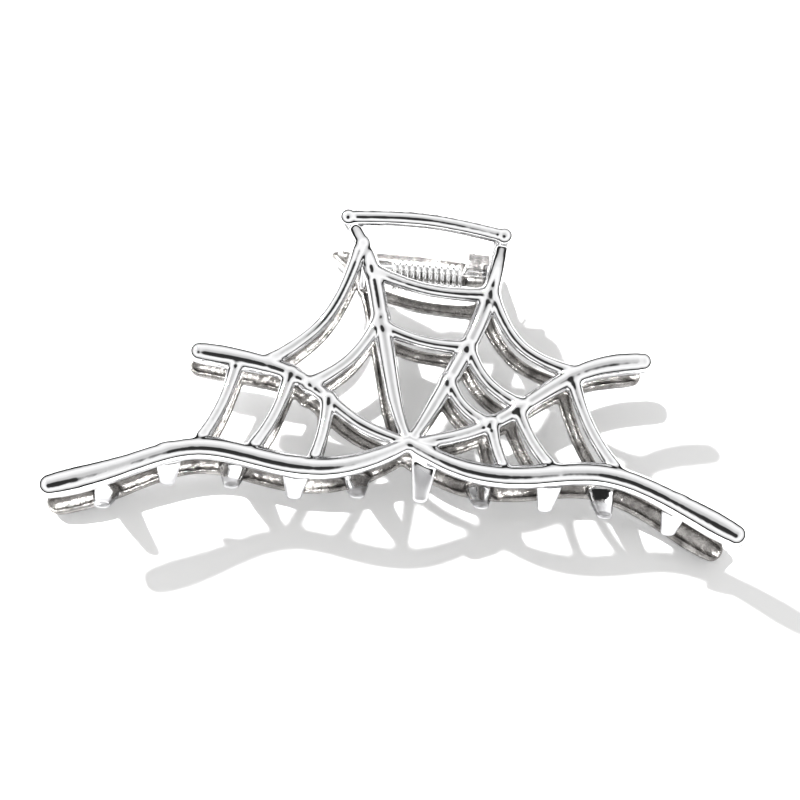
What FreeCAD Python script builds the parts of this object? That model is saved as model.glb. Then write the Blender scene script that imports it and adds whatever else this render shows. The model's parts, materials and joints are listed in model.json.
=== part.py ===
"""Claw clip for hair in the form of a spider's web: two sprung metal jaws on a hinge pin.

Lengths are millimetres. Each piece is drawn upright: X runs along the clip's width, Y from
the front jaw to the back jaw and Z from the teeth to the thumb bars. The web's hub is at
X = 0 and Z = 0, and the plane Y = 0 lies half way between the jaws. Every finished piece has
the same Placement, which lays the clip on its back jaw, as it lies on a table.

Each jaw is one casting. It is drawn as its hub, uprights, thumb bar, spokes, arms, web
threads, teeth and hinge ears, which meet face to face.
"""
import FreeCAD, Part
import Sketcher
import math
import os

Vector = FreeCAD.Vector
Rotation = FreeCAD.Rotation
Placement = FreeCAD.Placement

DIMENSIONS = (
    ("waist_depth", 5.8, "jaw to mid-plane where the two jaws are closest"),
    ("tip_depth", 9.4, "jaw to mid-plane at the tips of the arms"),
    ("thumb_depth", 12.7, "jaw to mid-plane at the thumb bar"),
    ("waist_low", 17.0, "height where the jaw starts to bow out towards the arms"),
    ("waist_high", 24.0, "height where the jaw starts to bow out towards the thumb bar"),
    ("tip_height", -12.8, "height of the arm tips"),
    ("thumb_height", 37.2, "height of the thumb bar"),
    ("upright_width", 3.1, "width of the two uprights"),
    ("bar_width", 2.7, "width of the thumb bar"),
    ("knob_diameter", 3.5, "rounded corner between upright and thumb bar"),
    ("spoke_width", 3.8, "width of the two upper spokes"),
    ("arm_width", 4.2, "width of the two lower arms"),
    ("thread_width", 2.25, "width of a web thread"),
    ("section_ratio", 0.85, "thickness of a rod as a part of its width"),
    ("hub_radius", 3.3, "boss where the rods meet"),
    ("hub_thickness", 2.8, "thickness of that boss"),
    ("tooth_pitch", 21.7, "from one tooth of a jaw to the next"),
    ("tooth_width", 4.0, "width of a tooth at its root"),
    ("tooth_thickness", 1.9, "thickness of a tooth at its root"),
    ("tooth_drop", 5.0, "how far a tooth reaches below the middle of its arm"),
    ("tooth_gap", 1.4, "tip of a tooth to mid-plane"),
    ("tooth_hook", 0.9, "how far below its knee the tip of a tooth is"),
    ("crotch_depth", 4.2, "the least depth below the hub from which a tooth drops"),
    ("pin_height", 31.4, "height of the hinge pin"),
    ("pin_diameter", 2.0, "hinge pin"),
    ("pin_clearance", 0.06, "radial play of the front ears on the pin"),
    ("head_diameter", 3.2, "riveted head of the pin"),
    ("head_thickness", 0.7, "riveted head of the pin"),
    ("ear_radius", 3.0, "hinge ear round the pin"),
    ("ear_root", 1.2, "half width of an ear where it leaves the upright"),
    ("ear_inset", 1.0, "that end's distance inside the upright's middle line"),
    ("ear_thickness", 1.3, "hinge ear"),
    ("ear_gap", 0.1, "play between neighbouring ears"),
    ("wire_diameter", 1.0, "spring wire"),
    ("coil_diameter", 4.6, "spring coil at the middle of the wire"),
    ("coil_pitch", 1.05, "spring coil, turn to turn"),
    ("coil_turns", 11.75, "spring coil"),
    ("coil_start", -4.5, "X of the coil's left end"),
    ("wire_play", 0.05, "gap between a wire end and what it presses on"),
    ("bend_swell", 0.03, "how much a bend in the wire stands proud of it"),
    ("tab_width", 3.1, "tab that the spring's leg presses on"),
    ("tab_thickness", 1.3, "the same tab"),
    ("tab_rise", 5.0, "top of the tab above the pin"),
    ("tab_overlap", 1.1, "how far the tab reaches down beside its ear"),
)

doc = FreeCAD.newDocument("web_claw_clip")
sheet = doc.addObject("Spreadsheet::Sheet", "Sizes")
for row, (alias, value, meaning) in enumerate(DIMENSIONS, start=1):
    sheet.set(f"A{row}", meaning)
    sheet.set(f"B{row}", str(value))
    sheet.setAlias(f"B{row}", alias)
doc.recompute()


def size(alias):
    """The value of one driving dimension."""
    return float(sheet.get(alias))


# --- the curved sheet that each jaw lies in ---------------------------------------------------

LOWER_BOW = (size("tip_depth") - size("waist_depth")) / (size("waist_low") - size("tip_height")) ** 2
UPPER_BOW = (size("thumb_depth") - size("waist_depth")) / (size("thumb_height") - size("waist_high")) ** 2


def bow(z):
    """Distance of the jaw's sheet from the mid-plane at height z."""
    below = max(0.0, size("waist_low") - z)
    above = max(0.0, z - size("waist_high"))
    return size("waist_depth") + LOWER_BOW * below ** 2 + UPPER_BOW * above ** 2


def on_sheet(x, z):
    """The point of the front jaw's sheet at x and z."""
    return Vector(x, -bow(z), z)


# --- rods: lofts through ellipses that stand square to a guide curve --------------------------

# Points of each rod's middle line, from its free end to the hub, as (x, z).
THUMB_LEFT = (-13.4, 37.2)
THUMB_RIGHT = (13.6, 36.5)
THUMB_CROWN = (0, 37.7)
RODS = {
    "left_upright": (THUMB_LEFT, (-9.0, 31.2), (-6.6, 23.5), (-4.4, 14.0), (-2.2, 5.4), (0, 0)),
    "right_upright": (THUMB_RIGHT, (13.0, 30.5), (10.4, 21.2), (6.4, 12.2), (2.6, 4.6), (0, 0)),
    "left_spoke": ((-38.6, 13.3), (-28.5, 12.4), (-18.5, 9.6), (-9.0, 3.1), (0, 0)),
    "right_spoke": ((41.6, 18.2), (31.0, 16.0), (20.4, 9.2), (10.3, 2.9), (0, 0)),
    "left_arm": ((-61.0, -12.9), (-48.2, -8.2), (-35.6, -3.7), (-24.0, -4.9), (-13.5, -5.4),
                 (-5.4, -2.9), (0, 0)),
    "right_arm": ((57.9, -12.3), (46.8, -6.9), (33.5, -2.7), (20.0, -4.2), (9.0, -3.6), (0, 0)),
}
# Where along a rod its sections stand (0 to 1), and how full the rod is there.
TAPERED = ((0, 1.0), (0.2, 1.0), (0.4, 1.0), (0.6, 1.0), (0.8, 0.88), (0.92, 0.65), (1, 0.6))
LEAF = ((0, 0.5), (0.02, 0.88), (0.05, 1.1), (0.1, 1.18), (0.16, 1.1), (0.24, 0.96), (0.34, 0.92),
        (0.48, 0.93), (0.64, 0.95), (0.8, 0.88), (0.9, 0.78), (1, 0.62))
PETAL = ((0, 0.45), (0.025, 0.85), (0.06, 1.05), (0.14, 1.1), (0.26, 1.0), (0.38, 0.82), (0.5, 0.72),
         (0.7, 0.66), (0.85, 0.62), (1, 0.55))
FLARED = ((0, 1.25), (0.3, 1.0), (0.7, 1.0), (1, 1.25))


def curve_through(points):
    """A smooth edge through the given points."""
    curve = Part.BSplineCurve()
    curve.interpolate(points)
    return curve.toShape()


def at(edge, fraction):
    """Point and unit tangent at a fraction of an edge's length."""
    parameter = edge.getParameterByLength(fraction * edge.Length)
    return edge.valueAt(parameter), edge.tangentAt(parameter).normalize()


def section(name, point, tangent, width, thickness):
    """An ellipse square to the tangent, its width in the jaw's sheet. Sizes are expressions."""
    across = tangent.cross(Vector(0, 1, 0)).normalize()
    ellipse = doc.addObject("Part::Ellipse", name)
    ellipse.setExpression("MajorRadius", f"({width}) / 2")
    ellipse.setExpression("MinorRadius", f"({thickness}) / 2")
    turn = Rotation(across, tangent.cross(across), tangent, "ZXY")
    ellipse.Placement = Placement(point, turn)
    return ellipse


def loft(name, sections):
    solid = doc.addObject("Part::Loft", name)
    solid.Sections = sections
    solid.Solid = True
    return solid


def rod(name, edge, width, stations):
    """A rod of elliptical section along an edge. Width is the alias of its full width."""
    sections = []
    for number, (fraction, fullness) in enumerate(stations):
        point, tangent = at(edge, fraction)
        wide = f"Sizes.{width} * {fullness}"
        deep = f"Sizes.{width} * {fullness} * Sizes.section_ratio"
        sections.append(section(f"{name}_section_{number}", point, tangent, wide, deep))
    return loft(name, sections)


def cut(name, base, *tools):
    """Base less each tool in turn."""
    for number, tool in enumerate(tools):
        result = doc.addObject("Part::Cut", f"{name}_trim_{number}")
        result.Base = base
        result.Tool = tool
        result.Refine = False
        base = result
    return base


def fuse(name, shapes):
    joined = doc.addObject("Part::MultiFuse", name)
    joined.Shapes = shapes
    return joined


def group(name, solids):
    """Separate solids in one sub-part."""
    compound = doc.addObject("Part::Compound", name)
    compound.Links = solids
    return compound


guides = {name: curve_through([on_sheet(x, z) for x, z in points]) for name, points in RODS.items()}

parts = {}


def keep(label, solid):
    """Makes an object a sub-part of the clip, under the name of its file."""
    solid.Label = label
    parts[label] = solid


# --- hub, thumb bar, uprights, spokes and arms ------------------------------------------------

def make_hub():
    hub = doc.addObject("Part::Ellipsoid", "hub")
    hub.setExpression("Radius1", "Sizes.hub_thickness / 2")
    hub.setExpression("Radius2", "Sizes.hub_radius")
    hub.setExpression("Radius3", "Sizes.hub_radius")
    seam_up = Rotation(Vector(0, 0, 1), 90)
    hub.Placement = Placement(on_sheet(0, 0), Rotation(Vector(1, 0, 0), 90) * seam_up)
    return hub


def make_knob(name, corner):
    knob = doc.addObject("Part::Sphere", name)
    knob.setExpression("Radius", "Sizes.knob_diameter / 2")
    knob.Placement = Placement(on_sheet(*corner), Rotation())
    return knob


def make_thumb_bar():
    """The bowed bar between the tops of the uprights, with a knob at each corner."""
    edge = curve_through([on_sheet(*THUMB_LEFT), on_sheet(*THUMB_CROWN), on_sheet(*THUMB_RIGHT)])
    even = ((0, 1.0), (0.25, 1.0), (0.5, 1.0), (0.75, 1.0), (1, 1.0))
    bar = rod("thumb_bar_rod", edge, "bar_width", even)
    knobs = [make_knob("left_knob", THUMB_LEFT), make_knob("right_knob", THUMB_RIGHT)]
    return fuse("thumb_bar", [bar, *knobs])


hub = make_hub()
thumb_bar = make_thumb_bar()
rods = {}
for side in ("left", "right"):
    rods[f"{side}_upright"] = rod(f"{side}_upright", guides[f"{side}_upright"], "upright_width", TAPERED)
    rods[f"{side}_spoke"] = rod(f"{side}_spoke", guides[f"{side}_spoke"], "spoke_width", PETAL)
    rods[f"{side}_arm"] = rod(f"{side}_arm", guides[f"{side}_arm"], "arm_width", LEAF)

keep("front_hub", hub)
keep("front_thumb_bar", thumb_bar)
for side in ("left", "right"):
    upright = rods[f"{side}_upright"]
    spoke = rods[f"{side}_spoke"]
    arm = rods[f"{side}_arm"]
    keep(f"front_{side}_upright", cut(f"{side}_upright", upright, hub, thumb_bar))
    keep(f"front_{side}_spoke", cut(f"{side}_spoke", spoke, upright, hub))
    keep(f"front_{side}_arm", cut(f"{side}_arm", arm, spoke, hub))


# --- threads: each runs from one rod to the next and sags towards the hub ---------------------

# (first rod, fraction of its length from the free end, second rod, fraction, sag)
THREADS = {
    "left_upper_threads": (
        ("left_upright", 0.13, "left_spoke", 0.31, 3.2),
        ("left_upright", 0.45, "left_spoke", 0.52, 1.6),
    ),
    "left_lower_threads": (
        ("left_spoke", 0.205, "left_arm", 0.415, 0.9),
        ("left_spoke", 0.43, "left_arm", 0.555, 0.9),
        ("left_spoke", 0.62, "left_arm", 0.725, 0.5),
    ),
    "middle_threads": (
        ("left_upright", 0.255, "right_upright", 0.265, 1.1),
        ("left_upright", 0.49, "right_upright", 0.51, 0.9),
    ),
    "right_upper_threads": (
        ("right_upright", 0.25, "right_spoke", 0.295, 3.2),
        ("right_upright", 0.51, "right_spoke", 0.545, 1.5),
        ("right_upright", 0.68, "right_spoke", 0.69, 1.0),
    ),
    "right_lower_threads": (
        ("right_spoke", 0.32, "right_arm", 0.375, 1.2),
        ("right_spoke", 0.565, "right_arm", 0.565, 0.8),
        ("right_spoke", 0.68, "right_arm", 0.705, 0.4),
    ),
}


def make_thread(name, first, first_at, second, second_at, sag):
    start = at(guides[first], first_at)[0]
    end = at(guides[second], second_at)[0]
    middle = (start + end) * 0.5
    to_hub = Vector(-middle.x, 0, -middle.z).normalize()
    low = middle + to_hub * sag
    edge = curve_through([start, on_sheet(low.x, low.z), end])
    thread = rod(name, edge, "thread_width", FLARED)
    return cut(name, thread, rods[first], rods[second])


for label, rows in THREADS.items():
    threads = [make_thread(f"{label}_{number}", *row) for number, row in enumerate(rows)]
    keep(f"front_{label}", group(label, threads))


# --- back jaw: the same casting mirrored in the mid-plane -------------------------------------

def mirrored(name, source):
    """The front piece seen in the mid-plane."""
    mirror = doc.addObject("Part::Mirroring", name)
    mirror.Source = source
    mirror.Normal = Vector(0, 1, 0)
    return mirror


back_rods = {name: mirrored(f"back_{name}_rod", source) for name, source in rods.items()}
back_hub = mirrored("back_hub", hub)
for label, source in list(parts.items()):
    back_label = label.replace("front", "back")
    if source is hub:
        keep(back_label, back_hub)
    else:
        keep(back_label, mirrored(f"{back_label}_mirror", source))


# --- teeth: five to a jaw, hooked inwards, those of the back jaw half a pitch to the left ------

FIRST_TOOTH = -40.4             # X of the front jaw's first tooth
TEETH_PER_JAW = 5
KNEE = 0.78                     # depth of a tooth's knee as a part of its root's depth
NEAR_HUB = 10.0                 # teeth nearer than this to the hub are trimmed by it
# Where along a tooth its sections stand (0 to 1), and how full the tooth is there.
HOOK = ((0, 1.0), (0.35, 0.9), (0.75, 0.72), (1, 0.4))


def arm_point(x):
    """The point of the arm's middle line at x, on the left or the right arm."""
    edge = guides["left_arm"] if x < 0 else guides["right_arm"]
    low, high = 0.0, 1.0
    for _ in range(40):
        middle = (low + high) / 2
        if abs(at(edge, middle)[0].x) > abs(x):
            low = middle
        else:
            high = middle
    return at(edge, low)[0]


def make_tooth(name, x, facing, tools):
    """One tooth: a tapered hook from the arm towards the other jaw. Facing is 1 or -1."""
    root = arm_point(x)
    drop = size("tooth_drop")
    gap = size("tooth_gap")
    bottom = min(root.z, -size("crotch_depth")) - drop
    knee = Vector(x, root.y * KNEE, bottom + size("tooth_hook"))
    tip = Vector(x, -gap, bottom)
    edge = curve_through([Vector(p.x, p.y * facing, p.z) for p in (root, knee, tip)])
    sections = []
    for number, (fraction, fullness) in enumerate(HOOK):
        point, tangent = at(edge, fraction)
        ellipse = doc.addObject("Part::Ellipse", f"{name}_section_{number}")
        ellipse.setExpression("MajorRadius", f"Sizes.tooth_width * {fullness} / 2")
        ellipse.setExpression("MinorRadius", f"Sizes.tooth_thickness * {fullness} / 2")
        across = Vector(1, 0, 0)
        ellipse.Placement = Placement(point, Rotation(across, tangent.cross(across), tangent, "ZXY"))
        sections.append(ellipse)
    return cut(name, loft(name, sections), *tools)


pitch = size("tooth_pitch")
jaws = (
    ("front", 0.0, 1, rods, hub),
    ("back", -pitch / 2, -1, back_rods, back_hub),
)
for jaw, shift, facing, jaw_rods, jaw_hub in jaws:
    teeth = []
    for number in range(TEETH_PER_JAW):
        x = FIRST_TOOTH + shift + number * pitch
        tools = [jaw_rods["left_arm"] if x < 0 else jaw_rods["right_arm"]]
        if abs(x) < NEAR_HUB:
            tools.insert(0, jaw_hub)
        teeth.append(make_tooth(f"{jaw}_tooth_{number}", x, facing, tools))
    keep(f"{jaw}_teeth", group(f"{jaw}_teeth", teeth))


# --- hinge ears -------------------------------------------------------------------------------

# From left to right: front ear, back ear, spring, front ear with its tab, back ear.
PIN_AXIS = Vector(0, 0, size("pin_height"))
EAR_STEP = size("ear_thickness") + size("ear_gap")
LEFT_EAR_X = -10.2
RIGHT_EAR_X = 11.6
EAR_REACH = ("Sizes.waist_depth - Sizes.ear_inset + (Sizes.thumb_depth - Sizes.waist_depth)"
             " * ((Sizes.pin_height - Sizes.waist_high) / (Sizes.thumb_height - Sizes.waist_high)) ^ 2")
FREE_BORE = "Sizes.pin_diameter / 2 + Sizes.pin_clearance"
TIGHT_BORE = "Sizes.pin_diameter / 2"


def constrain(sketch, name, expression, *constraint):
    """Adds a sketch constraint whose value is an expression."""
    index = sketch.addConstraint(Sketcher.Constraint(*constraint))
    sketch.renameConstraint(index, name)
    sketch.setExpression(f"Constraints.{name}", expression)


def draw_ear(sketch, bore):
    """A link round the pin that narrows to its root, with the pin's bore."""
    reach = bow(size("pin_height")) - size("ear_inset")
    eye = size("ear_radius")
    root = size("ear_root")
    upward = Vector(0, 0, 1)
    centre = Vector(0, 0, 0)
    far = Vector(reach, 0, 0)
    angle = math.acos((eye - root) / reach)
    upper = Vector(math.cos(angle), math.sin(angle), 0)
    lower = Vector(math.cos(angle), -math.sin(angle), 0)
    eye_circle = Part.Circle(centre, upward, eye)
    root_circle = Part.Circle(far, upward, root)
    sketch.addGeometry(Part.ArcOfCircle(eye_circle, angle, 2 * math.pi - angle))
    sketch.addGeometry(Part.LineSegment(centre + upper * eye, far + upper * root))
    sketch.addGeometry(Part.ArcOfCircle(root_circle, -angle, angle))
    sketch.addGeometry(Part.LineSegment(far + lower * root, centre + lower * eye))
    sketch.addGeometry(Part.Circle(centre, upward, size("pin_diameter") / 2))
    for ends in ((0, 1, 1, 1), (1, 2, 2, 2), (2, 1, 3, 1), (3, 2, 0, 2)):
        sketch.addConstraint(Sketcher.Constraint("Tangent", *ends))
    sketch.addConstraint(Sketcher.Constraint("Coincident", 0, 3, -1, 1))
    sketch.addConstraint(Sketcher.Constraint("Coincident", 4, 3, -1, 1))
    sketch.addConstraint(Sketcher.Constraint("PointOnObject", 2, 3, -1))
    constrain(sketch, "eye", "Sizes.ear_radius", "Radius", 0, eye)
    constrain(sketch, "root", "Sizes.ear_root", "Radius", 2, root)
    constrain(sketch, "reach", EAR_REACH, "DistanceX", -1, 1, 2, 3, reach)
    constrain(sketch, "bore", bore, "Radius", 4, size("pin_diameter") / 2)


def make_ear(name, x, facing, bore):
    """A plate square to the pin. Facing is 1 on the front jaw and -1 on the back jaw."""
    body = doc.addObject("PartDesign::Body", name)
    sketch = body.newObject("Sketcher::SketchObject", f"{name}_outline")
    plane = next(o for o in body.Origin.OriginFeatures if o.Role == "YZ_Plane")
    sketch.AttachmentSupport = (plane, [""])
    sketch.MapMode = "FlatFace"
    draw_ear(sketch, bore)
    pad = body.newObject("PartDesign::Pad", f"{name}_plate")
    pad.Profile = sketch
    pad.setExpression("Length", "Sizes.ear_thickness")
    body.Tip = pad
    turn = Rotation(Vector(1, 0, 0), 180) if facing > 0 else Rotation()
    body.Placement = Placement(Vector(x, 0, 0) + PIN_AXIS, turn)
    return body


def make_tab():
    """The block on the front jaw's right ear that the spring's leg presses on."""
    tab = doc.addObject("Part::Box", "spring_tab")
    tab.setExpression("Length", "Sizes.tab_width + Sizes.ear_thickness")
    tab.setExpression("Width", "Sizes.tab_thickness")
    tab.setExpression("Height", "Sizes.tab_rise - Sizes.ear_radius + Sizes.tab_overlap")
    low = size("ear_radius") - size("tab_overlap")
    corner = Vector(RIGHT_EAR_X - size("tab_width"), -size("tab_thickness") / 2, low)
    tab.Placement = Placement(corner + PIN_AXIS, Rotation())
    return tab


front_left = make_ear("front_left_ear_link", LEFT_EAR_X, 1, FREE_BORE)
back_left = make_ear("back_left_ear_link", LEFT_EAR_X + EAR_STEP, -1, TIGHT_BORE)
front_right = make_ear("front_right_ear_link", RIGHT_EAR_X, 1, FREE_BORE)
back_right = make_ear("back_right_ear_link", RIGHT_EAR_X + EAR_STEP, -1, TIGHT_BORE)
front_right = fuse("front_right_ear_and_tab", [front_right, make_tab()])
keep("front_left_ear", cut("front_left_ear", front_left, rods["left_upright"]))
keep("front_right_ear", cut("front_right_ear", front_right, rods["right_upright"]))
keep("back_left_ear", cut("back_left_ear", back_left, back_rods["left_upright"]))
keep("back_right_ear", cut("back_right_ear", back_right, back_rods["right_upright"]))


# --- hinge pin and torsion spring -------------------------------------------------------------

def cylinder(name, start, direction, radius, length):
    """A round bar. Radius and length are expressions."""
    bar = doc.addObject("Part::Cylinder", name)
    bar.setExpression("Radius", radius)
    bar.setExpression("Height", length)
    bar.Placement = Placement(start, Rotation(Vector(0, 0, 1), direction))
    return bar


def make_pin():
    """A plain pin, riveted over at both ends."""
    along = Vector(1, 0, 0)
    left = LEFT_EAR_X - size("ear_gap")
    right = RIGHT_EAR_X + EAR_STEP + size("ear_thickness") + size("ear_gap")
    head = size("head_thickness")
    shank = cylinder("pin_shank", PIN_AXIS + along * left, along, "Sizes.pin_diameter / 2", f"{right - left}")
    ends = []
    for name, x in (("left_head", left - head), ("right_head", right)):
        start = PIN_AXIS + along * x
        ends.append(cylinder(name, start, along, "Sizes.head_diameter / 2", "Sizes.head_thickness"))
    return fuse("hinge_pin", [shank, *ends])


LEG_INSET = 1.7                 # the spring's leg ends this far left of the right ear
LEG_OVERHANG = 1.0              # and this far above the tab


def make_spring():
    """A close-wound coil round the pin, with a tail to the back jaw and a leg to the tab."""
    radius = size("coil_diameter") / 2
    start = PIN_AXIS + Vector(size("coil_start"), 0, radius)
    length = size("coil_pitch") * size("coil_turns")
    end = PIN_AXIS + Vector(size("coil_start") + length, radius, 0)
    helix = doc.addObject("Part::Helix", "coil_line")
    helix.setExpression("Radius", "Sizes.coil_diameter / 2")
    helix.setExpression("Pitch", "Sizes.coil_pitch")
    helix.setExpression("Height", "Sizes.coil_pitch * Sizes.coil_turns")
    axes = Rotation(Vector(0, 0, 1), Vector(0, -1, 0), Vector(1, 0, 0), "ZXY")
    helix.Placement = Placement(PIN_AXIS + Vector(size("coil_start"), 0, 0), axes)
    wire = doc.addObject("Part::Circle", "coil_wire")
    wire.setExpression("Radius", "Sizes.wire_diameter / 2")
    wire.Placement = Placement(start, Rotation(Vector(0, 0, 1), Vector(0, -1, 0)))
    coil = doc.addObject("Part::Sweep", "coil")
    coil.Sections = [wire]
    coil.Spine = (helix, ["Edge1"])
    coil.Solid = True
    coil.Frenet = True
    tail_end = LEFT_EAR_X + EAR_STEP + size("ear_thickness") + size("wire_play")
    tail = cylinder("tail", start, Vector(-1, 0, 0), "Sizes.wire_diameter / 2", f"{start.x - tail_end}")
    behind_tab = (size("tab_thickness") + size("wire_diameter")) / 2 + size("wire_play")
    leg_end = PIN_AXIS + Vector(RIGHT_EAR_X - LEG_INSET, behind_tab, size("tab_rise") + LEG_OVERHANG)
    leg_line = leg_end - end
    leg = cylinder("leg", end, leg_line, "Sizes.wire_diameter / 2", f"{leg_line.Length}")
    bends = []
    for name, place in (("tail_bend", start), ("leg_bend", end)):
        bend = doc.addObject("Part::Sphere", name)
        bend.setExpression("Radius", "Sizes.wire_diameter / 2 + Sizes.bend_swell")
        bend.Placement = Placement(place, Rotation())
        bends.append(bend)
    return fuse("torsion_spring", [coil, tail, leg, *bends])


keep("hinge_pin", make_pin())
keep("torsion_spring", make_spring())
doc.recompute()


# --- lay the clip on its back jaw -------------------------------------------------------------

def lowest(points, tilt):
    """Height of the lowest point once the clip is laid down with its handle raised by tilt."""
    return min(p.z * math.sin(tilt) - p.y * math.cos(tilt) for p in points)


def outline(*labels):
    """Points all over the surfaces of some pieces."""
    return [p for label in labels for p in parts[label].Shape.tessellate(0.02)[0]]


def rest_tilt():
    """The tilt at which the back jaw's thumb bar and arms both touch the table."""
    handle = outline("back_thumb_bar")
    arms = outline("back_left_arm", "back_right_arm")
    low, high = 0.0, math.radians(20)
    while high - low > 1e-7:
        tilt = (low + high) / 2
        if lowest(handle, tilt) < lowest(arms, tilt):
            low = tilt
        else:
            high = tilt
    return low


def lay_down(label, turn, shift):
    """The finished sub-part: the upright piece under the Placement that lays it down."""
    drawn = parts[label]
    drawn.Label = f"upright_{label}"
    laid = doc.addObject("Part::Compound", f"laid_{label}")
    laid.Links = [drawn]
    laid.Label = label
    laid.Placement = Placement(shift, turn)
    return laid


tilt = rest_tilt()
lying = Rotation(Vector(1, 0, 0), math.degrees(tilt) - 90)
box = FreeCAD.BoundBox()
for solid in parts.values():
    turned = solid.Shape.copy()
    turned.rotate(Vector(0, 0, 0), lying.Axis, math.degrees(lying.Angle))
    box.add(turned.optimalBoundingBox(False))
to_origin = Vector(-box.Center.x, -box.Center.y, -box.ZMin)
subparts = {label: lay_down(label, lying, to_origin) for label in parts}
doc.recompute()

# --- check and write --------------------------------------------------------------------------

for item in doc.Objects:
    if "Invalid" in item.State or "Error" in item.State:
        raise RuntimeError(f"{item.Name} failed to build")
os.makedirs("parts", exist_ok=True)
for label, laid in subparts.items():
    shape = laid.Shape
    if shape.isNull() or not shape.isValid() or shape.Volume <= 0:
        raise RuntimeError(f"{label} has no valid shape")
    shape.exportStep(f"parts/{label}.step")

pin_at = lying.multVec(PIN_AXIS) + to_origin
print(f"{len(subparts)} sub-parts, {box.XLength:.2f} x {box.YLength:.2f} x {box.ZLength:.2f} mm")
print(f"tilt {math.degrees(tilt):.3f} degrees, pin axis at {pin_at.x:.3f}, {pin_at.y:.3f}, {pin_at.z:.3f}")
print(f"hub plane at {to_origin.x:.3f}, {to_origin.y:.3f}, {to_origin.z:.3f}")
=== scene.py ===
"""Spider-web claw clip, polished, lying on a white table.

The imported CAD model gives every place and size. Each jaw is one smooth casting here. It is
built as a distance field on a grid, so that rods, threads, teeth and ears run into each other
with fillets, as in a casting, and then meshed. Shapes are drawn upright and in millimetres:
X along the clip's width, Y from the front jaw to the back jaw, Z from the teeth to the thumb
bars, with the hub of the web at X = 0 and Z = 0 and the mid-plane between the jaws at Y = 0.
"""
import json
import math

import bmesh
import bpy
import numpy as np
import openvdb
from mathutils import Matrix, Vector


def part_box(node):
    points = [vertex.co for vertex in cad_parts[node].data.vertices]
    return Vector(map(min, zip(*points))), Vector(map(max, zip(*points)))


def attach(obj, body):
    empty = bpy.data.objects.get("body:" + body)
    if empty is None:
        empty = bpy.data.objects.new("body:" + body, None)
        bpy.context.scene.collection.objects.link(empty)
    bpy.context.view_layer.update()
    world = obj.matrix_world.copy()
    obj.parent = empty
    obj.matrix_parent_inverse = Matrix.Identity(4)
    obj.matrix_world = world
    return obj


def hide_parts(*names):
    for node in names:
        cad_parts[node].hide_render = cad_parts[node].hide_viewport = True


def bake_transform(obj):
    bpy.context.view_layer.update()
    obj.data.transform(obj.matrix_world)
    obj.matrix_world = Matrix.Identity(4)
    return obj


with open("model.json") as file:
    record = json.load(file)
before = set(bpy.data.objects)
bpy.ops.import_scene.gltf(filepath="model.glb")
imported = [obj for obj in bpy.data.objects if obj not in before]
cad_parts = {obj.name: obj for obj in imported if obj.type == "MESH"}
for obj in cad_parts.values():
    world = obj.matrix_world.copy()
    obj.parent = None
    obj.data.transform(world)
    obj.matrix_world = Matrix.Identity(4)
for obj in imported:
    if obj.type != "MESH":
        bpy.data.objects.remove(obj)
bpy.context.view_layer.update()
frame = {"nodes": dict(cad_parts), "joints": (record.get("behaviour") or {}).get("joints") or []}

MM = 0.001


# --- where the upright drawing lies in the row frame --------------------------------------------

def middle(node):
    low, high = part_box(node)
    return (low + high) / 2


FRONT_HUB = middle("front_hub")
BACK_HUB = middle("back_hub")
SIDE = Vector((1, 0, 0))
DEPTH = (BACK_HUB - FRONT_HUB).normalized()
HEIGHT = SIDE.cross(DEPTH)
ORIGIN = (FRONT_HUB + BACK_HUB) / 2
UPRIGHT_TO_ROW = Matrix.Translation(ORIGIN) @ Matrix((SIDE, DEPTH, HEIGHT)).transposed().to_4x4()
UPRIGHT_TO_ROW = UPRIGHT_TO_ROW @ Matrix.Scale(MM, 4)
PIN = UPRIGHT_TO_ROW.inverted() @ Vector(frame["joints"][0]["pos_m"])

# --- the jaw's curved sheet, its rods and its threads, as in the CAD model ----------------------

WAIST_DEPTH, TIP_DEPTH, THUMB_DEPTH = 5.8, 9.4, 12.7
WAIST_LOW, WAIST_HIGH, TIP_HEIGHT, THUMB_HEIGHT = 17.0, 24.0, -12.8, 37.2
LOWER_BOW = (TIP_DEPTH - WAIST_DEPTH) / (WAIST_LOW - TIP_HEIGHT) ** 2
UPPER_BOW = (THUMB_DEPTH - WAIST_DEPTH) / (THUMB_HEIGHT - WAIST_HIGH) ** 2


def bow(z):
    """Distance of the jaw's sheet from the mid-plane at height z."""
    below = np.maximum(0.0, WAIST_LOW - z)
    above = np.maximum(0.0, z - WAIST_HIGH)
    return WAIST_DEPTH + LOWER_BOW * below ** 2 + UPPER_BOW * above ** 2


def outward(z):
    """Unit normal of the front jaw's sheet at height z, away from the back jaw."""
    below = np.maximum(0.0, WAIST_LOW - z)
    above = np.maximum(0.0, z - WAIST_HIGH)
    slope = 2 * UPPER_BOW * above - 2 * LOWER_BOW * below
    normal = np.stack([np.zeros_like(slope), -np.ones_like(slope), -slope], -1)
    return normal / np.linalg.norm(normal, axis=-1, keepdims=True)


def on_sheet(x, z):
    """The point of the front jaw's sheet at x and z."""
    return np.array([x, -bow(z), z])


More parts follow.
